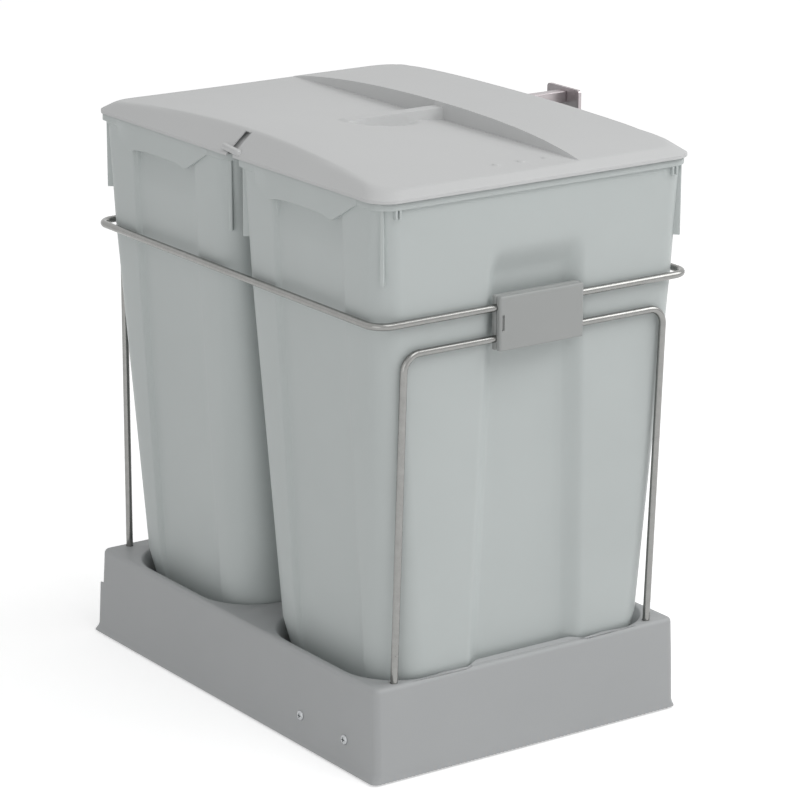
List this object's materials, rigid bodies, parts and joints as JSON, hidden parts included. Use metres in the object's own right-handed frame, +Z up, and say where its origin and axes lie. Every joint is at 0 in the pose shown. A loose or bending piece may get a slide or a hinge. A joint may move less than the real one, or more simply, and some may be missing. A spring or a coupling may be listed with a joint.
{
  "type": "built-in recycling bin",
  "caption": "Pull-out twin-bucket recycling bin for a base cabinet: buckets in a wire-framed tray on ball slides, under a lid held by a side arm.",
  "frame": {"origin": "on the cabinet floor, midway between the four floor screw holes of the two brackets", "axes": "+Z up, -Y towards the person who pulls the bin out, +X to the right of that person's view, where the lid arm leaves"},
  "size_m": [0.344, 0.4512, 0.4978],
  "materials": {
    "bucket_plastic": "fine moulded grain, pale cool grey",
    "lid_plastic": "fine moulded grain, neutral light grey",
    "tray_plastic": "fine moulded grain, mid grey",
    "clip_plastic": "satin moulded",
    "wire_steel": "satin drawn wire",
    "arm_steel": "satin brown-grey lacquer",
    "slide_steel": "bright zinc plate",
    "cage_steel": "stamped zinc-plated strip",
    "fastener_steel": "zinc-plated"
  },
  "bodies": {
    "cabinet_fixed": {"floor_bracket_left": "slide_steel", "floor_bracket_right": "slide_steel", "slide_outer_left": "slide_steel", "slide_outer_right": "slide_steel", "bracket_rivets_left": "fastener_steel", "bracket_rivets_right": "fastener_steel", "lid_arm": "arm_steel", "arm_plate": "arm_steel"},
    "outer_cages": {"outer_cage_left": "cage_steel", "outer_cage_right": "cage_steel"},
    "middle_members": {"slide_middle_left": "slide_steel", "slide_middle_right": "slide_steel"},
    "inner_cages": {"inner_cage_left": "cage_steel", "inner_cage_right": "cage_steel"},
    "carriage": {"tray": "tray_plastic", "slide_inner_left": "slide_steel", "slide_inner_right": "slide_steel", "tray_screws_left": "fastener_steel", "tray_screws_right": "fastener_steel", "front_hoop": "wire_steel", "rear_hoop": "wire_steel", "basket_ring": "wire_steel", "front_clip_cover": "clip_plastic", "front_clip_back": "clip_plastic", "rear_clip_cover": "clip_plastic", "rear_clip_back": "clip_plastic", "front_bucket": "bucket_plastic", "rear_bucket": "bucket_plastic"},
    "lid": {"lid": "lid_plastic"}
  },
  "joints": [
    {"name": "carriage_slide", "type": "slide", "parent": "cabinet_fixed", "child": "carriage", "axis": [0, -1, 0], "range_m": [0, 0.4]},
    {"name": "middle_slide", "type": "slide", "parent": "cabinet_fixed", "child": "middle_members", "axis": [0, -1, 0], "range_m": [0, 0.2]},
    {"name": "outer_cage_slide", "type": "slide", "parent": "cabinet_fixed", "child": "outer_cages", "axis": [0, -1, 0], "range_m": [0, 0.1]},
    {"name": "inner_cage_slide", "type": "slide", "parent": "cabinet_fixed", "child": "inner_cages", "axis": [0, -1, 0], "range_m": [0, 0.3]},
    {"name": "lid_lift", "type": "slide", "parent": "cabinet_fixed", "child": "lid", "axis": [0, 0, 1], "range_m": [0, 0.06]}
  ],
  "couplings": [
    {"joint": "middle_slide", "follows": "carriage_slide", "ratio": 0.5},
    {"joint": "outer_cage_slide", "follows": "carriage_slide", "ratio": 0.25},
    {"joint": "inner_cage_slide", "follows": "carriage_slide", "ratio": 0.75}
  ]
}
